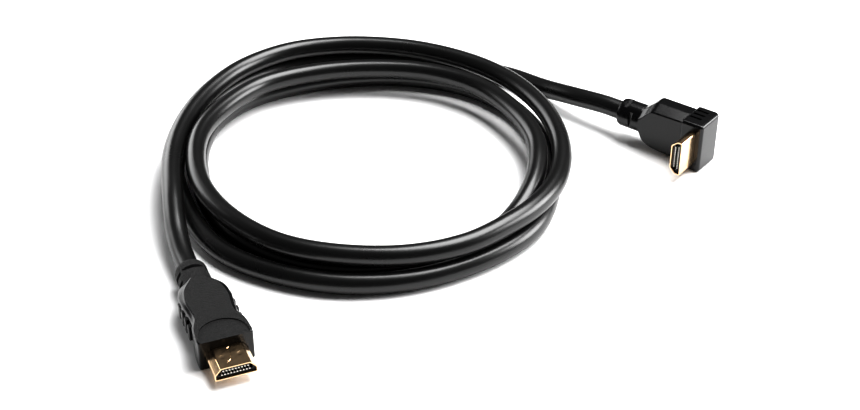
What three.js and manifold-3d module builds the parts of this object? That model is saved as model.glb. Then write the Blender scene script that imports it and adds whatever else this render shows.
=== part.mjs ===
// HDMI cable, 1.6 m: a round black jacket laid in three loose turns on the floor, a straight plug
// on one end and a right-angled plug on the other. Millimetres, +Z up, the floor is z = 0, and
// the view from the photograph's side looks along +Y.
import * as THREE from 'three';
import { mergeVertices } from 'three/addons/utils/BufferGeometryUtils.js';
import Module from 'manifold-3d';

const wasm = await Module();
wasm.setup();

// Driving dimensions
const CABLE_D = 7.6;             // jacket diameter
const GAP = 0.4;                 // between each end of the cable and the relief it enters
const FIT = 0.12;                // clearance round the insulators and contacts

const SHELL_W = 13.9;            // type A plug shell, wide face
const SHELL_TOP_W = 9.8;         // narrow face
const SHELL_H = 4.45;
const SHELL_LEDGE = 1.95;        // straight part of the shell's side, from the wide face
const SHELL_OUT = 10.7;          // how far the shell stands out of the moulding
const SHELL_IN = 6;              // how far it goes into the moulding
const SHELL_WALL = 0.35;

const SLOT_H = 1.9;              // slot in the insulator for the socket's tongue
const SLOT_W = 11.3;
const PITCH = 1.0;               // contact pitch in a row
const PIN_W = 0.45;
const PIN_H = 0.32;
const PIN_L = 9.4;
const PIN_SETBACK = 0.5;         // from the mouth to the contacts' front ends

const BODY_T = 11.2;             // thickness of the straight moulding
const BODY_W = 18.2;             // its width at the front face
const SHOULDER_W = 17.2;
const WAIST_W = 15.8;
const CROWN = 1.2;               // how far the flat top stays inside the waist
const BODY_L = 35;               // front face to neck
const RIB_SPAN = 18.2;           // over the tips of the grip ribs
const RIB_H = 5.4;
const RIB_L = 2.2;
const RELIEF_D = 11.2;
const RELIEF_L = 10.8;           // neck to the cable's entry

const HEAD_H = 20.2;             // height of the angled moulding's head
const HEAD_FRONT = 10.2;         // from its front face to the shell's mouth
const HEAD_X = 14.3;             // its depth along the shell's axis
const HEAD_Y = 9.6;              // its length along the cable's axis
const ARM_T = 11.0;              // thickness of the arm between head and neck
const ARM_CHAMFER = 4.6;         // width of the slope on the arm's upper front edge
const ARM_L = 19.5;
const AXIS_BACK = 7.8;           // cable axis behind the head's front face
const ELBOW_RELIEF_D = 11.2;
const ELBOW_RELIEF_L = 10.0;

// Where the plugs lie: the point over the floor at which the cable enters each, the way its shell
// faces, and that entry in the plug's own frame, which starts at the shell's mouth
const STRAIGHT = {
  x: -86.75, y: -52.99, z: BODY_T / 2, yaw: -67.8, entryX: -SHELL_OUT - BODY_L - RELIEF_L, entryY: 0,
};
const ANGLED = {
  x: 71.13, y: 47.75, z: HEAD_H / 2, yaw: -127.8, entryX: -HEAD_FRONT - AXIS_BACK,
  entryY: -HEAD_Y / 2 - ARM_L - ELBOW_RELIEF_L,
};

// The cable's centreline between the plugs, straight plug first: up the left outside, three turns
// clockwise, and out to the right. FLOOR is a strand on the floor, and the other heights lie on
// the strands below.
const FLOOR = CABLE_D / 2;
const ROUTE = [
  [-89.8, -45.6, 6.0], [-93, -36, 7.4], [-95.5, -25.8, 9.5],
  [-97.7, -14, 11.3],
  [-100.4, 2, 11.8], [-101.5, 20, 11.8], [-99.2, 41, 11.8], [-93, 61.2, 11.8],
  [-81.5, 80.6, 11.8], [-64.6, 94.2, 11.8], [-45.3, 99.6, 11.8], [-26.2, 99.4, 11.8],
  [-7.2, 95, 11.7], [13.6, 83.6, 11.6], [29, 68.2, 11.4], [39.2, 49.6, 11],
  [44, 30, 10.8], [44.4, 11.8, 11], [40.7, -6.7, 11.7], [33.5, -21, 12],
  [23.4, -32.6, 12], [7.8, -45, 11.7], [-12.1, -51.6, 11.5], [-35.7, -51.4, 11.5],
  [-56.1, -45.2, 11.6], [-73.6, -31.3, 11.8], [-86.4, -12, 11.8], [-92.3, 8, 11.8],
  [-92.8, 29, 11.6], [-86.6, 48, 11.2], [-73.6, 66.6, 11], [-54.4, 76.8, 10.9],
  [-30.2, 80.9, 10.9], [-5.8, 78, 10.9], [14, 66.6, 10.9], [28, 47, 10.8],
  [35, 26.5, 10.8], [35.2, 9, 10.7], [32.2, -6, 9.4], [26.6, -17.6, 6.6],
  [19.3, -26.9, 4.5], [7.6, -36.9, FLOOR], [-9, -46, FLOOR], [-34.5, -49.4, FLOOR],
  [-54.8, -43.8, FLOOR], [-72.8, -30, FLOOR], [-84.1, -12.8, FLOOR], [-91.4, 9, FLOOR],
  [-93.8, 30, FLOOR], [-90.6, 49.4, FLOOR], [-79.5, 66.6, FLOOR], [-64.6, 76.9, FLOOR],
  [-40.5, 85.1, FLOOR], [-15, 86.1, FLOOR], [8.8, 78.6, FLOOR], [26, 63.4, FLOOR],
  [37, 42, FLOOR], [40.4, 20, FLOOR], [38.9, -3.4, FLOOR], [31.7, -24.8, FLOOR],
  [15.7, -41.8, FLOOR], [-8.4, -54.4, FLOOR], [-33, -57.6, FLOOR], [-54.5, -52.8, FLOOR],
  [-74.5, -41.6, FLOOR], [-86.2, -27.5, FLOOR], [-95, -9, FLOOR], [-101, 10, FLOOR],
  [-102.6, 30, FLOOR], [-98.9, 52, FLOOR], [-87, 75.6, FLOOR], [-69, 93.4, FLOOR],
  [-46.5, 101.8, FLOOR], [-25, 102.8, FLOOR], [-5.5, 99.8, FLOOR], [12, 94.4, FLOOR],
  [28, 87.3, 3.9], [41.5, 74.9, 5.3], [53.7, 62.1, 8.4], [64.6, 52.9, 10],
];

// Materials
function material(colour, roughness, metalness) {
  return new THREE.MeshStandardMaterial({ color: colour, roughness, metalness });
}
const pvcJacket = material(0x17181a, 0.35, 0);
const mattePvc = material(0x2b2c2e, 0.7, 0);
const glossyPvc = material(0x1c1d1f, 0.4, 0);
const goldPlate = material(0xc9963f, 0.28, 1);
const insulatorPlastic = material(0x141414, 0.6, 0);
const contactMetal = material(0xc8c6bf, 0.3, 1);

// Solids and booleans
function solid(geometry) {
  const plain = new THREE.BufferGeometry();
  plain.setAttribute('position', geometry.attributes.position.clone());
  if (geometry.index) plain.setIndex(geometry.index.clone());
  const merged = mergeVertices(plain, 1e-4);
  const index = merged.index.array;
  const faces = [];
  for (let i = 0; i < index.length; i += 3) {
    const [a, b, c] = [index[i], index[i + 1], index[i + 2]];
    if (a !== b && b !== c && a !== c) faces.push(a, b, c);
  }
  return new wasm.Manifold(new wasm.Mesh({
    numProp: 3,
    vertProperties: new Float32Array(merged.attributes.position.array),
    triVerts: new Uint32Array(faces),
  }));
}

function surface(body) {
  const mesh = body.getMesh();
  const geometry = new THREE.BufferGeometry();
  geometry.setAttribute('position', new THREE.BufferAttribute(new Float32Array(mesh.vertProperties), 3));
  geometry.setIndex(new THREE.BufferAttribute(new Uint32Array(mesh.triVerts), 1));
  return geometry;
}

function block(x0, x1, y0, y1, z0, z1) {
  const geometry = new THREE.BoxGeometry(x1 - x0, y1 - y0, z1 - z0);
  geometry.translate((x0 + x1) / 2, (y0 + y1) / 2, (z0 + z1) / 2);
  return geometry;
}

// Turned solid about the X axis, its profile given as [x, radius] pairs, closed on the axis
function turned(profile, segments) {
  const points = profile.map(([x, r]) => new THREE.Vector2(r, x));
  const closed = [new THREE.Vector2(0, profile[0][0]), ...points,
    new THREE.Vector2(0, profile[profile.length - 1][0])];
  const geometry = new THREE.LatheGeometry(closed, segments);
  geometry.rotateZ(-Math.PI / 2);
  return geometry;
}

// A closed skin over rings of equally many points, with a fan over each end ring
function skin(rings) {
  const count = rings[0].length;
  const positions = [];
  const faces = [];
  for (const ring of rings) for (const p of ring) positions.push(p.x, p.y, p.z);
  for (let k = 0; k + 1 < rings.length; k += 1) {
    for (let i = 0; i < count; i += 1) {
      const a = k * count + i;
      const b = k * count + ((i + 1) % count);
      faces.push(a, b, b + count, a, b + count, a + count);
    }
  }
  const ends = [[0, true], [rings.length - 1, false]];
  for (const [k, flip] of ends) {
    const middle = new THREE.Vector3();
    for (const p of rings[k]) middle.addScaledVector(p, 1 / count);
    const hub = positions.length / 3;
    positions.push(middle.x, middle.y, middle.z);
    for (let i = 0; i < count; i += 1) {
      const a = k * count + i;
      const b = k * count + ((i + 1) % count);
      if (flip) faces.push(hub, b, a);
      else faces.push(hub, a, b);
    }
  }
  const geometry = new THREE.BufferGeometry();
  geometry.setAttribute('position', new THREE.Float32BufferAttribute(positions, 3));
  geometry.setIndex(faces);
  return geometry;
}

// A rounded rectangle about (u, v), anticlockwise, with one radius for each corner
function roundedRectangle(u, v, halfU, halfV, radii, perCorner) {
  const corners = [[1, 1], [-1, 1], [-1, -1], [1, -1]];
  const points = [];
  corners.forEach(([su, sv], c) => {
    const r = radii[c];
    for (let i = 0; i <= perCorner; i += 1) {
      const turn = (c + i / perCorner) * (Math.PI / 2);
      points.push([u + su * (halfU - r) + r * Math.cos(turn), v + sv * (halfV - r) + r * Math.sin(turn)]);
    }
  });
  return points;
}

// The outline through the given corners, with each corner rounded by up to r
function softCorners(corners, r) {
  const points = [];
  corners.forEach((corner, k) => {
    const at = new THREE.Vector2(...corner);
    const before = new THREE.Vector2(...corners[(k + corners.length - 1) % corners.length]).sub(at);
    const after = new THREE.Vector2(...corners[(k + 1) % corners.length]).sub(at);
    const start = before.setLength(Math.min(r, before.length() * 0.45)).add(at);
    const end = after.setLength(Math.min(r, after.length() * 0.45)).add(at);
    const bend = new THREE.QuadraticBezierCurve(start, at, end);
    points.push(...bend.getPoints(3).map((p) => [p.x, p.y]));
  });
  return points;
}

// Values along a smooth curve through rows of numbers, the first of which is the distance
function smoothRows(rows, between) {
  const out = [];
  for (let k = 0; k + 1 < rows.length; k += 1) {
    const before = rows[Math.max(k - 1, 0)];
    const after = rows[Math.min(k + 2, rows.length - 1)];
    for (let i = 0; i < between; i += 1) {
      const s = i / between;
      out.push(rows[k].map((value, n) => {
        if (n === 0) return value + (rows[k + 1][0] - value) * s;
        const step = rows[k + 1][0] - rows[k][0];
        const m0 = ((rows[k + 1][n] - before[n]) / (rows[k + 1][0] - before[0])) * step;
        const m1 = ((after[n] - value) / (after[0] - rows[k][0])) * step;
        const [s2, s3] = [s * s, s * s * s];
        return value * (2 * s3 - 3 * s2 + 1) + m0 * (s3 - 2 * s2 + s)
          + rows[k + 1][n] * (3 * s2 - 2 * s3) + m1 * (s3 - s2);
      }));
    }
  }
  out.push(rows[rows.length - 1]);
  return out;
}

// A slot round part of a strain relief's skin: a ring sector about the X axis
function skinSlot(x, width, inner, outer, middle, span) {
  const shape = new THREE.Shape();
  shape.absarc(0, 0, outer, middle - span / 2, middle + span / 2, false);
  shape.absarc(0, 0, inner, middle + span / 2, middle - span / 2, true);
  shape.closePath();
  const geometry = new THREE.ExtrudeGeometry(shape, {
    depth: width, bevelEnabled: false, curveSegments: 8,
  });
  geometry.rotateX(Math.PI / 2);
  geometry.rotateZ(Math.PI / 2);
  geometry.translate(x - width / 2, 0, 0);
  return geometry;
}

// Shell section: y is the width, z the height, the narrow face up, inset by a wall
function shellSection(inset) {
  const half = SHELL_W / 2 - inset;
  const top = SHELL_TOP_W / 2 - inset * 0.6;
  const low = -SHELL_H / 2 + inset;
  const high = SHELL_H / 2 - inset;
  const ledge = -SHELL_H / 2 + SHELL_LEDGE;
  const r = Math.max(0.6 - inset, 0.12);
  const shape = new THREE.Shape();
  shape.moveTo(-half + r, low);
  shape.lineTo(half - r, low);
  shape.quadraticCurveTo(half, low, half, low + r);
  shape.lineTo(half, ledge - r);
  shape.quadraticCurveTo(half, ledge, half - r * 0.7, ledge + r * 0.7);
  shape.lineTo(top + r * 0.7, high - r * 0.7);
  shape.quadraticCurveTo(top, high, top - r, high);
  shape.lineTo(-top + r, high);
  shape.quadraticCurveTo(-top, high, -top - r * 0.7, high - r * 0.7);
  shape.lineTo(-half + r * 0.7, ledge + r * 0.7);
  shape.quadraticCurveTo(-half, ledge, -half, ledge - r);
  shape.lineTo(-half, low + r);
  shape.quadraticCurveTo(-half, low, -half + r, low);
  return shape;
}

// That section pushed along X from x0 to x1
function shellBar(inset, x0, x1) {
  const geometry = new THREE.ExtrudeGeometry(shellSection(inset), {
    depth: x1 - x0, bevelEnabled: false, curveSegments: 3,
  });
  geometry.rotateX(Math.PI / 2);
  geometry.rotateZ(Math.PI / 2);
  geometry.translate(x0, 0, 0);
  return geometry;
}

// Plug front, the same on both ends. Origin at the middle of the mouth, +X out of the mouth,
// the narrow face up.
function shellBody() {
  const back = -SHELL_OUT - SHELL_IN;
  let body = solid(shellBar(0, back, 0)).subtract(solid(shellBar(SHELL_WALL, back + SHELL_WALL, 1)));
  for (const side of [-1, 1]) {
    const spring = block(-7.4, -4.2, side * 2.7 - 0.55, side * 2.7 + 0.55, SHELL_H / 2 - 0.16, 3);
    body = body.subtract(solid(spring));
  }
  return surface(body);
}

function insulatorBody() {
  const front = -0.9;
  const core = solid(shellBar(SHELL_WALL + FIT, -SHELL_OUT - SHELL_IN + SHELL_WALL + FIT, front));
  const slotEnd = -PIN_SETBACK - PIN_L - FIT;
  const slot = solid(block(slotEnd, 1, -SLOT_W / 2, SLOT_W / 2, -SLOT_H / 2, SLOT_H / 2));
  return surface(core.subtract(slot));
}

function contactBody(y, upper) {
  const reach = SLOT_H / 2 - FIT;
  const z0 = upper ? reach - PIN_H : -reach;
  return block(-PIN_SETBACK - PIN_L, -PIN_SETBACK, y - PIN_W / 2, y + PIN_W / 2, z0, z0 + PIN_H);
}

// Socket in a moulding's front face that the shell sits in
function shellSocket(frontX, reach) {
  return shellBar(-FIT, reach - FIT, frontX + 2);
}

// Straight moulding. Origin at the middle of the shell's mouth, +X out of the mouth, +Y width.
// Rows are distance from the mouth, half width, half width of the flat top, half height of the
// side wall and half thickness.
function straightBody() {
  const f = -SHELL_OUT;
  const at = (share) => f - share * BODY_L;
  const neck = RELIEF_D / 2 - 0.1;
  const [waist, shoulder, front, half] = [WAIST_W / 2, SHOULDER_W / 2, BODY_W / 2, BODY_T / 2];
  const rows = smoothRows([
    [at(1), neck, neck * 0.41, neck * 0.41, neck],
    [at(0.94), shoulder - 1.5, shoulder - 4.9, half - 2.6, half],
    [at(0.83), shoulder - 0.3, shoulder - 2.5, half - 2.0, half],
    [at(0.72), shoulder, shoulder - 1.6, half - 1.7, half],
    [at(0.62), shoulder - 0.1, shoulder - 1.3, half - 1.5, half],
    [at(0.51), waist + 0.2, waist - CROWN + 0.2, half - 1.4, half],
    [at(0.42), waist, waist - CROWN, half - 1.4, half],
    [at(0.35), waist + 0.1, waist - CROWN + 0.3, half - 1.3, half],
    [at(0.27), front - 0.5, front - 1.0, half - 0.8, half],
    [at(0.18), front - 0.1, front - 0.4, half - 0.5, half],
    [f - 0.4, front, front - 0.3, half - 0.4, half], [f, front - 0.4, front - 0.7, half - 0.8, half - 0.4],
  ], 2);
  return skin(rows.map(([x, wide, top, wall, thick]) => {
    const tall = Math.min(thick, half);
    return softCorners([
      [wide, -wall], [wide, wall], [top, tall], [-top, tall],
      [-wide, wall], [-wide, -wall], [-top, -tall], [top, -tall],
    ], 1.2).map(([y, z]) => new THREE.Vector3(x, y, z));
  }));
}

// The arch-shaped step on the wide faces, open to the front face
function archStep(sign) {
  const f = -SHELL_OUT;
  const half = BODY_W / 2 - 0.9;
  const reach = f - 0.28 * BODY_L;
  const shape = new THREE.Shape();
  shape.moveTo(f + 1, -half);
  shape.lineTo(f + 1, half);
  shape.lineTo(f - 1.2, half);
  shape.bezierCurveTo(f - 6.5, half, reach, half * 0.6, reach, 0);
  shape.bezierCurveTo(reach, -half * 0.6, f - 6.5, -half, f - 1.2, -half);
  shape.closePath();
  const geometry = new THREE.ExtrudeGeometry(shape, { depth: 1, bevelEnabled: false, curveSegments: 8 });
  geometry.translate(0, 0, sign > 0 ? BODY_T / 2 - 0.4 : -BODY_T / 2 - 0.6);
  return geometry;
}

function straightMoulding() {
  const f = -SHELL_OUT;
  const back = f - BODY_L - RELIEF_L;
  const r = RELIEF_D / 2;
  let body = solid(straightBody());
  body = body.add(solid(turned([[back, r - 0.9], [back + 0.4, r - 0.3], [back + 1.2, r],
    [f - BODY_L + 1, r - 0.05], [f - BODY_L + 6, r - 0.2]], 32)));
  for (let i = 0; i < 4; i += 1) {
    const x = f - (0.385 + 0.115 * i) * BODY_L;
    for (const side of [-1, 1]) {
      const tip = side * (RIB_SPAN / 2);
      const root = side * (WAIST_W / 2 - 1);
      body = body.add(solid(block(x - RIB_L / 2, x + RIB_L / 2, Math.min(tip, root),
        Math.max(tip, root), -RIB_H / 2, RIB_H / 2)));
    }
  }
  body = body.subtract(solid(archStep(1))).subtract(solid(archStep(-1)));
  for (let i = 0; i < 4; i += 1) {
    const turn = (i * Math.PI) / 2;
    body = body.subtract(solid(skinSlot(back + 5, 1.6, r - 1.3, r + 1, turn, 1.25)));
  }
  for (const side of [-0.5, Math.PI + 0.5]) {
    body = body.subtract(solid(skinSlot(back + 8.6, 1.4, r - 1.2, r + 1, side, 0.9)));
  }
  return surface(body.subtract(solid(shellSocket(f, -SHELL_OUT - SHELL_IN))));
}

// Angled moulding. Same origin, with +Y along the cable towards the head's far face and the
// shell's wide direction upright.
// Rows are distance along the cable, bottom, top, width of the upper front slope and its drop.
function armBody(axis) {
  const start = -HEAD_Y / 2 - ARM_L;
  const at = (share) => start + share * ARM_L;
  const neck = ELBOW_RELIEF_D / 2 - 0.3;
  const [low, high, half] = [-HEAD_H / 2 + 0.5, HEAD_H / 2 - 0.5, ARM_T / 2];
  const rows = [
    [start, -neck, neck, neck * 0.6, neck * 0.6], [at(0.08), low + 3.1, neck + 1.1, 3.6, 2.8],
    [at(0.18), low + 1.7, high - 1.5, ARM_CHAMFER, 2.4], [at(0.29), low + 0.9, high, ARM_CHAMFER, 2.1],
    [at(0.49), low + 0.4, high, ARM_CHAMFER, 2.0], [at(0.72), low + 0.1, high, ARM_CHAMFER, 1.9],
    [0, low, high, ARM_CHAMFER, 1.8],
  ];
  return skin(rows.map(([y, bottom, top, slope, drop], k) => {
    const edge = k === 0 ? neck * 0.6 : 1.2;
    const corners = [[bottom, half - edge], [bottom, -half + edge], [bottom + edge, -half],
      [top - edge, -half], [top, -half + edge], [top, half - slope], [top - drop, half], [bottom + edge, half]];
    return softCorners(corners, 0.9).map(([z, x]) => new THREE.Vector3(axis + x, y, z));
  }));
}

// Rounded box with a wide round on its far back upright edge
function headBody() {
  const x = -HEAD_FRONT - HEAD_X / 2;
  const edge = 0.9;
  const rings = [];
  for (let i = 0; i <= 4; i += 1) {
    const turn = (i * Math.PI) / 8;
    rings.push([-HEAD_H / 2 + edge * (1 - Math.sin(turn)), edge * (1 - Math.cos(turn))]);
  }
  rings.reverse();
  const upper = rings.map(([z, inset]) => [-z, inset]).reverse();
  return skin([...rings, ...upper].map(([z, inset]) => (
    roundedRectangle(x, 0, HEAD_X / 2 - inset, HEAD_Y / 2 - inset, [1.0, 2.2, 1.0, 1.0], 5)
      .map(([px, py]) => new THREE.Vector3(px, py, z)))));
}

function angledMoulding() {
  const f = -HEAD_FRONT;
  const axis = f - AXIS_BACK;
  const r = ELBOW_RELIEF_D / 2;
  const neckY = -HEAD_Y / 2 - ARM_L;
  const end = neckY - ELBOW_RELIEF_L;
  let body = solid(headBody()).add(solid(armBody(axis)));
  const relief = turned([[end, r - 0.9], [end + 0.4, r - 0.3], [end + 1.2, r],
    [end + 6, r], [neckY + 4, r - 0.3]], 32);
  relief.rotateZ(Math.PI / 2);
  relief.translate(axis, 0, 0);
  body = body.add(solid(relief));
  for (let i = 0; i < 3; i += 1) {
    const x = axis - 2.8 + 2.8 * i;
    body = body.subtract(solid(block(x - 0.55, x + 0.55, -3.6, 1.3, HEAD_H / 2 - 0.6, HEAD_H)));
  }
  const rows = [[end + 3.2, Math.PI / 2], [end + 3.2, -Math.PI / 2], [end + 6.2, 0], [end + 6.2, Math.PI]];
  for (const [y, middle] of rows) {
    const slot = skinSlot(y, 1.4, r - 1.2, r + 1, middle, 1.5);
    slot.rotateZ(Math.PI / 2);
    slot.translate(axis, 0, 0);
    body = body.subtract(solid(slot));
  }
  const socket = shellSocket(f, -SHELL_OUT - SHELL_IN);
  socket.rotateX(Math.PI / 2);
  return surface(body.subtract(solid(socket)));
}

// Jacket
function jacket() {
  const ends = [STRAIGHT, ANGLED].map((plug) => {
    const turn = THREE.MathUtils.degToRad(plug.yaw);
    const out = plug === STRAIGHT ? turn + Math.PI : turn - Math.PI / 2;
    return new THREE.Vector3(plug.x + GAP * Math.cos(out), plug.y + GAP * Math.sin(out), plug.z);
  });
  const path = new THREE.CatmullRomCurve3([
    ends[0], ...ROUTE.map(([x, y, z]) => new THREE.Vector3(x, y, z)), ends[1],
  ]);
  const section = new THREE.Shape();
  const sides = 12;
  const r = CABLE_D / 2;
  for (let i = 0; i < sides; i += 1) {
    const turn = ((i + 0.5) * 2 * Math.PI) / sides;
    const x = r * Math.cos(turn);
    const y = r * Math.sin(turn);
    if (i === 0) section.moveTo(x, y);
    else section.lineTo(x, y);
  }
  section.closePath();
  return new THREE.ExtrudeGeometry(section, {
    steps: 200, extrudePath: path, bevelEnabled: false,
  });
}

// Assembly
const cable = new THREE.Group();
cable.name = 'hdmi_cable';

function add(name, geometry, look) {
  const mesh = new THREE.Mesh(geometry, look);
  mesh.name = name;
  cable.add(mesh);
}

// Sets a piece built about a plug's mouth where that plug lies; tip turns the shell upright
function place(geometry, plug, tip) {
  if (tip) geometry.rotateX(tip);
  geometry.translate(-plug.entryX, -plug.entryY, 0);
  geometry.rotateZ(THREE.MathUtils.degToRad(plug.yaw));
  geometry.translate(plug.x, plug.y, plug.z);
  return geometry;
}

function plugFront(prefix, plug, tip) {
  add(`${prefix}_shell`, place(shellBody(), plug, tip), goldPlate);
  add(`${prefix}_insulator`, place(insulatorBody(), plug, tip), insulatorPlastic);
  for (let i = 0; i < 19; i += 1) {
    const upper = i % 2 === 1;
    const y = (i - 9) * PITCH / 2;
    const number = String(i + 1).padStart(2, '0');
    add(`${prefix}_contact_${number}`, place(contactBody(y, upper), plug, tip), contactMetal);
  }
}

add('cable_jacket', jacket(), pvcJacket);
add('straight_plug_moulding', place(straightMoulding(), STRAIGHT, 0), mattePvc);
plugFront('straight_plug', STRAIGHT, 0);
add('angled_plug_moulding', place(angledMoulding(), ANGLED, 0), glossyPvc);
plugFront('angled_plug', ANGLED, Math.PI / 2);

export default cable;
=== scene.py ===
import math
import bpy
from mathutils import Matrix, Vector


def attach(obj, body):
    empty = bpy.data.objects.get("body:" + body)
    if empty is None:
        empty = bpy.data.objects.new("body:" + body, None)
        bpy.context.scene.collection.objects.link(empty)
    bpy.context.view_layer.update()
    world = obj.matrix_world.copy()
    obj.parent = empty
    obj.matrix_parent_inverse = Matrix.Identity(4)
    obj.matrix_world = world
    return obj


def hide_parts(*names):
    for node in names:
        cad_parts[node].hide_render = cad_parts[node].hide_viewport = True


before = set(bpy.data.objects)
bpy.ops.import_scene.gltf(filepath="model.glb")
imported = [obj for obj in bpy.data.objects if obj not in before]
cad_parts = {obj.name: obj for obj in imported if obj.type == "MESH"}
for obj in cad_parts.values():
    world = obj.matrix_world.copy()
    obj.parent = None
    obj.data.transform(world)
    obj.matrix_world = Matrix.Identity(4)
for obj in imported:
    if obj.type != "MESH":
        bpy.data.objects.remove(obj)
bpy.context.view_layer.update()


# Studio
# A white sweep under large soft boxes in a dim room, so the black plastic keeps its black. The
# camera stands where the photograph was taken: 0.56 m from the coil, 34 degrees up, long lens.
MM = 0.001
PHOTO_W = 860
FOCAL_PX = 1500
AIM = Vector((-5, -4, 0)) * MM
DISTANCE = 555 * MM
ELEVATION = math.radians(33.84)

def linear(code):
    values = [int(code[i:i + 2], 16) / 255 for i in (1, 3, 5)]
    return [v / 12.92 if v <= 0.04045 else ((v + 0.055) / 1.055) ** 2.4 for v in values] + [1.0]

def new_material(name, colour, roughness, metallic=0.0):
    material = bpy.data.materials.new(name)
    material.use_nodes = True
    shader = material.node_tree.nodes["Principled BSDF"]
    shader.inputs["Base Color"].default_value = linear(colour)
    shader.inputs["Roughness"].default_value = roughness
    shader.inputs["Metallic"].default_value = metallic
    return material, material.node_tree, shader

def add_node(tree, kind, settings=(), links=()):
    node = tree.nodes.new(kind)
    for key, value in dict(settings).items():
        if key in node.inputs:
            node.inputs[key].default_value = value
        else:
            setattr(node, key, value)
    for target, source in dict(links).items():
        tree.links.new(source, node.inputs[target])
    return node

scene = bpy.context.scene
scene.view_settings.view_transform = "Standard"
scene.view_settings.look = "None"
scene.view_settings.gamma = 0.82

camera_data = bpy.data.cameras.new("camera")
camera_data.sensor_width = 36
camera_data.lens = 36 * FOCAL_PX / PHOTO_W
camera_data.clip_start = 0.01
camera = bpy.data.objects.new("camera", camera_data)
scene.collection.objects.link(camera)
camera.location = AIM + DISTANCE * Vector((0, -math.cos(ELEVATION), math.sin(ELEVATION)))
camera.rotation_euler = (math.pi / 2 - ELEVATION, 0, 0)
scene.camera = camera

bpy.ops.mesh.primitive_plane_add(size=6, location=(0, 0, 0))
floor = bpy.context.object
floor.name = "floor"
floor.data.materials.append(new_material("white_sweep", "#f6f6f6", 0.7)[0])

def soft_box(name, place, size, power):
    light = bpy.data.lights.new(name, "AREA")
    light.shape = "RECTANGLE"
    light.size, light.size_y = size
    light.energy = power
    lamp = bpy.data.objects.new(name, light)
    scene.collection.objects.link(lamp)
    lamp.location = place
    lamp.rotation_euler = (-Vector(place)).to_track_quat("-Z", "Y").to_euler()

soft_box("key_box", (0.35, 0.29, 1.05), (0.9, 0.72), 31)
soft_box("rim_box", (-0.78, 0.76, 0.3), (0.8, 0.5), 6)
soft_box("right_box", (0.95, 0.15, 0.4), (0.6, 0.5), 15)
world = bpy.data.worlds.new("studio")
world.use_nodes = True
world.node_tree.nodes["Background"].inputs["Color"].default_value = (1, 1, 1, 1)
world.node_tree.nodes["Background"].inputs["Strength"].default_value = 0.1
scene.world = world


# Cable
# A round black PVC jacket, extruded over screened copper pairs, laid in three loose turns. The
# route is the part's own, in millimetres, from the straight plug to the angled one.
CABLE_D = 7.6
FLOOR = CABLE_D / 2
ROUTE = [
    (-86.9, -52.62, 5.6), (-89.8, -45.6, 6.0), (-93, -36, 7.4), (-95.5, -25.8, 9.5), (-97.7, -14, 11.3),
    (-100.4, 2, 11.8), (-101.5, 20, 11.8), (-99.2, 41, 11.8), (-93, 61.2, 11.8),
    (-81.5, 80.6, 11.8), (-64.6, 94.2, 11.8), (-45.3, 99.6, 11.8), (-26.2, 99.4, 11.8),
    (-7.2, 95, 11.7), (13.6, 83.6, 11.6), (29, 68.2, 11.4), (39.2, 49.6, 11),
    (44, 30, 10.8), (44.4, 11.8, 11), (40.7, -6.7, 11.7), (33.5, -21, 12),
    (23.4, -32.6, 12), (7.8, -45, 11.7), (-12.1, -51.6, 11.5), (-35.7, -51.4, 11.5),
    (-56.1, -45.2, 11.6), (-73.6, -31.3, 11.8), (-86.4, -12, 11.8), (-92.3, 8, 11.8),
    (-92.8, 29, 11.6), (-86.6, 48, 11.2), (-73.6, 66.6, 11), (-54.4, 76.8, 10.9),
    (-30.2, 80.9, 10.9), (-5.8, 78, 10.9), (14, 66.6, 10.9), (28, 47, 10.8),
    (35, 26.5, 10.8), (35.2, 9, 10.7), (32.2, -6, 9.4), (26.6, -17.6, 6.6),
    (19.3, -26.9, 4.5), (7.6, -36.9, FLOOR), (-9, -46, FLOOR), (-34.5, -49.4, FLOOR),
    (-54.8, -43.8, FLOOR), (-72.8, -30, FLOOR), (-84.1, -12.8, FLOOR), (-91.4, 9, FLOOR),
    (-93.8, 30, FLOOR), (-90.6, 49.4, FLOOR), (-79.5, 66.6, FLOOR), (-64.6, 76.9, FLOOR),
    (-40.5, 85.1, FLOOR), (-15, 86.1, FLOOR), (8.8, 78.6, FLOOR), (26, 63.4, FLOOR),
    (37, 42, FLOOR), (40.4, 20, FLOOR), (38.9, -3.4, FLOOR), (31.7, -24.8, FLOOR),
    (15.7, -41.8, FLOOR), (-8.4, -54.4, FLOOR), (-33, -57.6, FLOOR), (-54.5, -52.8, FLOOR),
    (-74.5, -41.6, FLOOR), (-86.2, -27.5, FLOOR), (-95, -9, FLOOR), (-101, 10, FLOOR),
    (-102.6, 30, FLOOR), (-98.9, 52, FLOOR), (-87, 75.6, FLOOR), (-69, 93.4, FLOOR),
    (-46.5, 101.8, FLOOR), (-25, 102.8, FLOOR), (-5.5, 99.8, FLOOR), (12, 94.4, FLOOR),
    (28, 87.3, 3.9), (41.5, 74.9, 5.3), (53.7, 62.1, 8.4), (64.6, 52.9, 10), (70.82, 48.0, 10.1),
]
STEPS_BETWEEN = 12

def along_route(points, between):
    """Centripetal spline through the points, as the part's own jacket follows."""
    ends = [2 * points[0] - points[1], *points, 2 * points[-1] - points[-2]]
    path = []
    for k in range(len(points) - 1):
        p0, p1, p2, p3 = ends[k:k + 4]
        d0, d1, d2 = (math.sqrt((b - a).length) for a, b in ((p0, p1), (p1, p2), (p2, p3)))
        leave = ((p1 - p0) / d0 - (p2 - p0) / (d0 + d1) + (p2 - p1) / d1) * d1
        arrive = ((p2 - p1) / d1 - (p3 - p1) / (d1 + d2) + (p3 - p2) / d2) * d1
        for i in range(between):
            t = i / between
            path.append(p1 + leave * t + (3 * (p2 - p1) - 2 * leave - arrive) * t ** 2
                        + (2 * (p1 - p2) + leave + arrive) * t ** 3)
    return path + [points[-1]]

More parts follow.
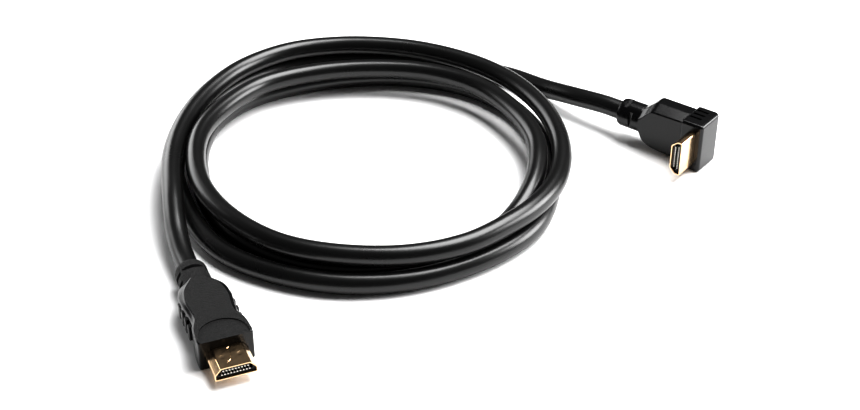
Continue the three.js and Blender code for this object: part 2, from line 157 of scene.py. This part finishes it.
centreline = along_route([Vector(p) * MM for p in ROUTE], STEPS_BETWEEN)
curve = bpy.data.curves.new("cable", "CURVE")
curve.dimensions = "3D"
curve.bevel_depth = CABLE_D / 2 * MM
curve.bevel_resolution = 8
curve.use_fill_caps = True
spline = curve.splines.new("POLY")
spline.points.add(len(centreline) - 1)
for point, spot in zip(spline.points, centreline):
    point.co = (*spot, 1)
spline.use_smooth = True
cable = bpy.data.objects.new("cable", curve)
scene.collection.objects.link(cable)

# Extruded PVC is black and satin, with a faint orange peel from the die and slow waves where the
# pairs inside press through. Handling leaves it a little duller in places.
extruded_pvc, tree, shader = new_material("extruded_black_pvc", "#090909", 0.28)
shader.inputs["IOR"].default_value = 1.52
coords = add_node(tree, "ShaderNodeTexCoord")
waves = add_node(tree, "ShaderNodeTexNoise", {"Scale": 60, "Detail": 1}, {"Vector": coords.outputs["Object"]})
peel = add_node(tree, "ShaderNodeTexNoise", {"Scale": 900, "Detail": 2}, {"Vector": coords.outputs["Object"]})
handled = add_node(tree, "ShaderNodeMapRange", {"To Min": 0.25, "To Max": 0.32}, {"Value": waves.outputs["Fac"]})
relief = add_node(tree, "ShaderNodeBump", {"Strength": 0.12, "Distance": 0.0004}, {"Height": waves.outputs["Fac"]})
skin_relief = add_node(tree, "ShaderNodeBump", {"Strength": 0.12, "Distance": 0.0001},
                       {"Height": peel.outputs["Fac"], "Normal": relief.outputs["Normal"]})
tree.links.new(handled.outputs["Result"], shader.inputs["Roughness"])
tree.links.new(skin_relief.outputs["Normal"], shader.inputs["Normal"])
curve.materials.append(extruded_pvc)
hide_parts("cable_jacket")
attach(cable, "root")


# Straight plug's moulding
# Black PVC moulded in one shot over the plug and the cable's end: a waisted grip with four fins
# on each side and a slotted strain relief. The mould is spark eroded on the wide faces, for a
# fine dull grain, and polished round the sides.
SHELL_OUT = 10.7
SHELL_IN = 6.0
BODY_T = 11.2
BODY_L = 35
RELIEF_L = 10.8
RELIEF_R = 5.6
# Slots across the relief, as low and high corners from the point where the cable enters
RELIEF_SLOTS = [
    ((4.0, -6, 4.2), (5.7, 6, 7)), ((4.0, -6, -7), (5.7, 6, -4.2)), ((4.0, -7, -6), (5.7, -4.2, 6)),
    ((4.0, 4.2, -6), (5.7, 7, 6)), ((8.3, -7, -6), (9.8, -4.5, 6)), ((8.3, 4.5, -6), (9.8, 7, 6)),
]
FINS = 4
FIN_FIRST = 0.385
FIN_PITCH = 0.115
FIN_ROOT = 6.6
FIN_TIP = 9.1
FIN_HALF_L = 1.1
FIN_HALF_H = 2.7
# The arch-shaped step round the shell: where it starts behind the front, its reach and its height
ARCH_START = 1.2
ARCH_REACH = 9.8
ARCH_HALF_W = 8.2
ARCH_FLOOR = 5.25
# Outline of the folded shell across, its narrow face up, and how much wider and taller its socket is
SOCKET_WIDER = 1.02
SOCKET_TALLER = 1.05
SHELL = [(6.95, -2.225), (6.95, -0.275), (4.9, 2.225), (-4.9, 2.225), (-6.95, -0.275), (-6.95, -2.225)]
STRAIGHT_ENTRY = (-86.75, -52.99, 5.6)
STRAIGHT_YAW = -67.8
ROWS_BETWEEN = 3
GRIP_ROWS = [
    # distance behind the front face, half width, half width of the flat top, wall, thickness
    (35, 5.5, 2.25, 2.25, 5.5), (32.9, 7.1, 3.7, 3.0, 5.6), (29, 8.3, 6.1, 3.6, 5.6),
    (25.2, 8.6, 7.0, 3.9, 5.6), (21.7, 8.5, 7.3, 4.1, 5.6), (17.9, 8.1, 6.9, 4.2, 5.6),
    (14.7, 7.9, 6.7, 4.2, 5.6), (12.2, 8.0, 7.0, 4.3, 5.6), (9.4, 8.6, 8.1, 4.8, 5.6),
    (6.3, 9.0, 8.7, 5.1, 5.6), (0.5, 9.1, 8.8, 5.2, 5.6), (0, 8.8, 8.5, 4.9, 5.3),
]

def ring(corners, rounding):
    """A closed loop of edges through the corners, each one rounded, left in object mode."""
    bpy.ops.mesh.primitive_circle_add(vertices=len(corners), radius=1)
    loop = bpy.context.object
    for vertex, corner in zip(loop.data.vertices, corners):
        vertex.co = corner
    bpy.ops.object.mode_set(mode="EDIT")
    bpy.ops.mesh.select_all(action="SELECT")
    if rounding:
        bpy.ops.mesh.bevel(offset=rounding, segments=3, affect="VERTICES", clamp_overlap=True)
    bpy.ops.object.mode_set(mode="OBJECT")
    return loop

def loft(name, loops):
    """One closed skin over loops that have equally many points."""
    bpy.ops.object.select_all(action="DESELECT")
    for loop in loops:
        loop.select_set(True)
    bpy.context.view_layer.objects.active = loops[0]
    bpy.ops.object.join()
    bpy.ops.object.mode_set(mode="EDIT")
    bpy.ops.mesh.select_all(action="SELECT")
    bpy.ops.mesh.bridge_edge_loops()
    bpy.ops.mesh.select_all(action="SELECT")
    bpy.ops.mesh.fill_holes(sides=0)
    bpy.ops.mesh.normals_make_consistent(inside=False)
    bpy.ops.object.mode_set(mode="OBJECT")
    piece = bpy.context.object
    piece.name = name
    return piece

def slab(corners, along, rounding=0.0):
    """The outline filled and pushed along a direction."""
    ring(corners, rounding)
    bpy.ops.object.mode_set(mode="EDIT")
    bpy.ops.mesh.select_all(action="SELECT")
    bpy.ops.mesh.edge_face_add()
    bpy.ops.mesh.extrude_region_move(TRANSFORM_OT_translate={"value": along})
    bpy.ops.mesh.select_all(action="SELECT")
    bpy.ops.mesh.normals_make_consistent(inside=False)
    bpy.ops.object.mode_set(mode="OBJECT")
    return bpy.context.object

def bar(low, high, rounding=0.0):
    """A block between two corners, its edges rounded."""
    middle = [(a + b) / 2 for a, b in zip(low, high)]
    bpy.ops.mesh.primitive_cube_add(size=1, location=(0, 0, 0))
    bpy.ops.object.mode_set(mode="EDIT")
    bpy.ops.transform.resize(value=[b - a for a, b in zip(low, high)])
    bpy.ops.transform.translate(value=middle)
    if rounding:
        bpy.ops.mesh.bevel(offset=rounding, segments=3, affect="EDGES")
    bpy.ops.object.mode_set(mode="OBJECT")
    return bpy.context.object

def combine(piece, other, operation):
    change = piece.modifiers.new("combine", "BOOLEAN")
    change.operation = operation
    change.solver = "EXACT"
    change.object = other
    bpy.context.view_layer.objects.active = piece
    bpy.ops.object.modifier_apply(modifier=change.name)
    bpy.data.objects.remove(other)

def settle(piece, place, node, angle=32):
    """Shades a finished piece, moves its mesh to its place and has it stand in for its node."""
    bpy.ops.object.select_all(action="DESELECT")
    piece.select_set(True)
    bpy.context.view_layer.objects.active = piece
    bpy.ops.object.shade_smooth_by_angle(angle=math.radians(angle))
    weigh = piece.modifiers.new("weigh", "WEIGHTED_NORMAL")
    weigh.keep_sharp = True
    bpy.ops.object.modifier_apply(modifier=weigh.name)
    piece.data.transform(place)
    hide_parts(node)
    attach(piece, "root")

def relief_sleeve(back, front, radius):
    """The strain relief's sleeve about X, its cable end rounded over."""
    profile = [(back, radius - 0.9), (back + 0.3, radius - 0.35), (back + 1.0, radius - 0.05),
               (back + 1.6, radius), (front - 4.5, radius), (front, radius - 0.25)]
    loops = []
    for x, r in profile:
        bpy.ops.mesh.primitive_circle_add(vertices=48, radius=r, rotation=(0, math.pi / 2, 0))
        bpy.ops.object.transform_apply()
        for vertex in bpy.context.object.data.vertices:
            vertex.co.x = x
        loops.append(bpy.context.object)
    return loft("relief_sleeve", loops)

front = -SHELL_OUT
entry = front - BODY_L - RELIEF_L
grip_rows = along_route([Vector(row[:3]) for row in GRIP_ROWS], ROWS_BETWEEN)
grip_walls = along_route([Vector((row[0], row[3], row[4])) for row in GRIP_ROWS], ROWS_BETWEEN)
loops = []
for (back, wide, top), (_, wall, tall) in zip(grip_rows, grip_walls):
    x, tall = front - back, min(tall, BODY_T / 2)
    loops.append(ring([(x, wide, -wall), (x, wide, wall), (x, top, tall), (x, -top, tall), (x, -wide, wall),
                       (x, -wide, -wall), (x, -top, -tall), (x, top, -tall)], 0.55))
grip = loft("straight_grip", loops)
socket = [(front - SHELL_IN, y * SOCKET_WIDER, z * SOCKET_TALLER) for y, z in SHELL]
combine(grip, slab(socket, (SHELL_IN + 2, 0, 0), 0.4), "DIFFERENCE")
combine(grip, relief_sleeve(entry, front - BODY_L + 5, RELIEF_R), "UNION")
for i in range(FINS):
    x = front - (FIN_FIRST + FIN_PITCH * i) * BODY_L
    for side in (-1, 1):
        y = sorted((side * FIN_ROOT, side * FIN_TIP))
        combine(grip, bar((x - FIN_HALF_L, y[0], -FIN_HALF_H), (x + FIN_HALF_L, y[1], FIN_HALF_H), 0.4), "UNION")
start, leave, arrive, end = (Vector(p) for p in ((-ARCH_START, ARCH_HALF_W), (-6.5, ARCH_HALF_W),
                                                 (-ARCH_REACH, 4.9), (-ARCH_REACH, 0)))
half = []
for i in range(9):
    t = i / 8
    p = start * (1 - t) ** 3 + 3 * leave * t * (1 - t) ** 2 + 3 * arrive * t ** 2 * (1 - t) + end * t ** 3
    half.append((front + p.x, p.y))
arch = [(front + 1, ARCH_HALF_W), *half, *[(x, -y) for x, y in reversed(half[:-1])], (front + 1, -ARCH_HALF_W)]
for low_z in (-ARCH_FLOOR - 1, ARCH_FLOOR):
    combine(grip, slab([(x, y, low_z) for x, y in arch], (0, 0, 1)), "DIFFERENCE")
for low, high in RELIEF_SLOTS:
    combine(grip, bar((entry + low[0], low[1], low[2]), (entry + high[0], high[1], high[2])), "DIFFERENCE")

straight_place = (Matrix.Translation(Vector(STRAIGHT_ENTRY) * MM)
                  @ Matrix.Rotation(math.radians(STRAIGHT_YAW), 4, "Z")
                  @ Matrix.Scale(MM, 4) @ Matrix.Translation((-entry, 0, 0)))
grained_pvc, tree, shader = new_material("grained_black_pvc", "#070707", 0.52)
shader.inputs["IOR"].default_value = 1.36
coords = add_node(tree, "ShaderNodeTexCoord")
grain = add_node(tree, "ShaderNodeTexNoise", {"Scale": 2200, "Detail": 3}, {"Vector": coords.outputs["Object"]})
sparkle = add_node(tree, "ShaderNodeMapRange", {"To Min": 0.5, "To Max": 0.72}, {"Value": grain.outputs["Fac"]})
eroded = add_node(tree, "ShaderNodeBump", {"Strength": 1.0, "Distance": 0.0006}, {"Height": grain.outputs["Fac"]})
tree.links.new(sparkle.outputs["Result"], shader.inputs["Roughness"])
tree.links.new(eroded.outputs["Normal"], shader.inputs["Normal"])
polished_pvc, tree, shader = new_material("polished_black_pvc", "#050506", 0.22)
shader.inputs["IOR"].default_value = 1.42
grip.data.materials.clear()
grip.data.materials.append(grained_pvc)
grip.data.materials.append(polished_pvc)
for face in grip.data.polygons:
    face.material_index = 0 if abs(face.normal.z) > 0.93 or face.center.x < front - BODY_L else 1
settle(grip, straight_place, "straight_plug_moulding")


# Shells
# Each is a strip of steel folded round the insulator, its ends locked on the narrow face in a
# dovetail seam, with two pressed dimples for the socket's springs, and gold flashed. Gold over
# nickel is pale where it mirrors the sweep and brown where it mirrors the dark room.
gold_flash, tree, shader = new_material("gold_flashed_steel", "#f2d0a6", 0.16, 1.0)
coords = add_node(tree, "ShaderNodeTexCoord")
rolled = add_node(tree, "ShaderNodeTexNoise", {"Scale": 700, "Detail": 2}, {"Vector": coords.outputs["Object"]})
bright = add_node(tree, "ShaderNodeMapRange", {"To Min": 0.12, "To Max": 0.22}, {"Value": rolled.outputs["Fac"]})
tree.links.new(bright.outputs["Result"], shader.inputs["Roughness"])

FACE_Z = 2.225
DIMPLE_R = 5.0
DIMPLE_DEPTH = 0.13
# What the steel's wall leaves of the outline inside
MOUTH_WIDTH = 0.948
MOUTH_HEIGHT = 0.84
# The seam's path along and across the narrow face
SEAM = [(-0.1, -0.7), (-1.0, -0.7), (-1.4, -1.9), (-2.8, -1.9), (-3.1, -1.1), (-4.2, -0.3), (-5.9, 0.1),
        (-7.5, 0.2), (-8.3, -0.6), (-9.4, -0.5), (-9.7, 0.7), (-11.5, 0.7)]

def folded_shell(name):
    length = SHELL_OUT + SHELL_IN - 0.2
    shell = slab([(-length, y, z) for y, z in SHELL], (length, 0, 0), 0.45)
    shell.name = name
    mouth = [(0.4 - length, y * MOUTH_WIDTH, z * MOUTH_HEIGHT) for y, z in SHELL]
    combine(shell, slab(mouth, (length + 1.2, 0, 0), 0.3), "DIFFERENCE")
    for side in (-1, 1):
        bpy.ops.mesh.primitive_uv_sphere_add(segments=32, ring_count=16, radius=DIMPLE_R,
                                             location=(-5.5, side * 2.9, FACE_Z + DIMPLE_R - DIMPLE_DEPTH))
        bpy.ops.object.transform_apply()
        combine(shell, bpy.context.object, "DIFFERENCE")
    bead = bpy.data.curves.new("seam", "CURVE")
    bead.dimensions = "3D"
    bead.bevel_depth = 0.13
    bead.bevel_resolution = 4
    bead.use_fill_caps = True
    line = bead.splines.new("NURBS")
    line.points.add(len(SEAM) - 1)
    for point, (x, y) in zip(line.points, SEAM):
        point.co = (x, y, FACE_Z - 0.015, 1)
    line.order_u = 3
    line.use_endpoint_u = True
    seam_bead = bpy.data.objects.new("seam", bead)
    scene.collection.objects.link(seam_bead)
    bpy.ops.object.select_all(action="DESELECT")
    seam_bead.select_set(True)
    bpy.context.view_layer.objects.active = seam_bead
    bpy.ops.object.convert(target="MESH")
    shell.select_set(True)
    bpy.context.view_layer.objects.active = shell
    bpy.ops.object.join()
    shell.data.materials.clear()
    shell.data.materials.append(gold_flash)
    return shell

straight_shell = folded_shell("straight_shell")
settle(straight_shell, straight_place, "straight_plug_shell")


# Angled plug's moulding
# The same PVC from a polished mould: an upright head, an arm that slopes to a round neck, and a
# slotted strain relief. The shell stands upright in the head's front face.
HEAD_FRONT = 10.2
HEAD_DEPTH = 14.3
HEAD_H = 20.2
HEAD_Y = 9.6
HEAD_CORNER = 2.4
HEAD_EDGE = 1.2
ARM_T = 11.0
ARM_L = 19.5
ARM_TOP = 9.6
ELBOW_RELIEF_L = 10.0
ANGLED_ENTRY = (71.13, 47.75, 10.1)
ANGLED_YAW = -127.8
ELBOW_SLOTS = [
    ((-6, 2.5, 4.4), (6, 4.0, 7)), ((-6, 2.5, -7), (6, 4.0, -4.4)),
    ((-7, 5.6, -6), (-4.4, 7.1, 6)), ((4.4, 5.6, -6), (7, 7.1, 6)),
]
GROOVES = 3
GROOVE_PITCH = 2.8
ARM_ROWS = [
    # distance from the neck, bottom, top, width and drop of the slope on the upper front edge
    (0, -5.3, 5.3, 3.2, 3.2), (1.6, -7.0, 6.4, 3.6, 2.8), (3.5, -8.0, 8.1, 4.6, 2.4), (5.6, -8.8, 9.6, 4.6, 2.1),
    (9.5, -9.3, 9.6, 4.6, 2.0), (14, -9.5, 9.6, 4.6, 1.9), (24.3, -9.6, 9.6, 4.6, 1.8),
]
axis = -HEAD_FRONT - 7.8
neck = -HEAD_Y / 2 - ARM_L
elbow_entry = neck - ELBOW_RELIEF_L
arm_rows = along_route([Vector(row[:3]) for row in ARM_ROWS], ROWS_BETWEEN)
arm_slopes = along_route([Vector((row[0], row[3], row[4])) for row in ARM_ROWS], ROWS_BETWEEN)
loops = []
for (along, bottom, top), (_, slope, drop) in zip(arm_rows, arm_slopes):
    y, top = neck + along, min(top, ARM_TOP)
    edge = 1.2 + 2.0 * max(0, 1 - along / 2.5)
    half = ARM_T / 2
    section = [(-half + edge, bottom), (half - edge, bottom), (half, bottom + edge), (half, top - drop),
               (half - slope, top), (-half + edge, top), (-half, top - edge), (-half, bottom + edge)]
    loops.append(ring([(axis + x, y, z) for x, z in section], 0.45))
elbow = loft("angled_moulding", loops)

head = bar((-HEAD_FRONT - HEAD_DEPTH, -HEAD_Y / 2, -HEAD_H / 2), (-HEAD_FRONT, HEAD_Y / 2, HEAD_H / 2))
for edge in head.data.edges:
    ends = [head.data.vertices[v].co for v in edge.vertices]
    upright = abs(ends[0].z - ends[1].z) > 1
    edge.select = upright and ends[0].y > 0 and ends[0].x < -HEAD_FRONT - 1
for vertex in head.data.vertices:
    vertex.select = vertex.co.y > 0 and vertex.co.x < -HEAD_FRONT - 1
for face in head.data.polygons:
    face.select = False
bpy.ops.object.mode_set(mode="EDIT")
bpy.ops.mesh.select_mode(type="EDGE")
bpy.ops.mesh.bevel(offset=HEAD_CORNER, segments=6, affect="EDGES")
bpy.ops.mesh.select_all(action="DESELECT")
bpy.ops.mesh.edges_select_sharp(sharpness=math.radians(40))
bpy.ops.mesh.bevel(offset=HEAD_EDGE, segments=5, affect="EDGES")
bpy.ops.mesh.select_mode(type="VERT")
bpy.ops.object.mode_set(mode="OBJECT")
combine(elbow, head, "UNION")

sleeve = relief_sleeve(elbow_entry, neck + 4, RELIEF_R)
sleeve.data.transform(Matrix.Translation((axis, 0, 0)) @ Matrix.Rotation(math.pi / 2, 4, "Z"))
combine(elbow, sleeve, "UNION")
for i in range(GROOVES):
    x = axis - GROOVE_PITCH + GROOVE_PITCH * i
    combine(elbow, bar((x - 0.55, -3.6, HEAD_H / 2 - 0.7), (x + 0.55, 1.3, HEAD_H / 2 + 1), 0.2), "DIFFERENCE")
for low, high in ELBOW_SLOTS:
    combine(elbow, bar((axis + low[0], elbow_entry + low[1], low[2]),
                       (axis + high[0], elbow_entry + high[1], high[2])), "DIFFERENCE")
socket = [(-SHELL_OUT - SHELL_IN, -z * SOCKET_TALLER, y * SOCKET_WIDER) for y, z in SHELL]
combine(elbow, slab(socket, (SHELL_IN + 3, 0, 0), 0.4), "DIFFERENCE")
elbow.data.materials.clear()
elbow.data.materials.append(polished_pvc)
angled_place = (Matrix.Translation(Vector(ANGLED_ENTRY) * MM)
                @ Matrix.Rotation(math.radians(ANGLED_YAW), 4, "Z")
                @ Matrix.Scale(MM, 4) @ Matrix.Translation((-axis, -elbow_entry, 0)))
settle(elbow, angled_place, "angled_plug_moulding")
angled_shell = folded_shell("angled_shell")
settle(angled_shell, angled_place @ Matrix.Rotation(math.pi / 2, 4, "X"), "angled_plug_shell")


# Insulators and contacts
# A black glass-filled plastic block with a slot for the socket's tongue, and nineteen stamped
# contacts in two staggered rows, gold over nickel at the tips, which look silvery.
insulator_plastic = new_material("black_glass_filled_plastic", "#0c0c0c", 0.5)[0]
contact_metal = new_material("bright_plated_contact", "#fbf6ee", 0.36, 1.0)[0]
for name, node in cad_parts.items():
    if name.endswith("_insulator") or "_contact_" in name:
        node.data.materials.clear()
        node.data.materials.append(contact_metal if "_contact_" in name else insulator_plastic)
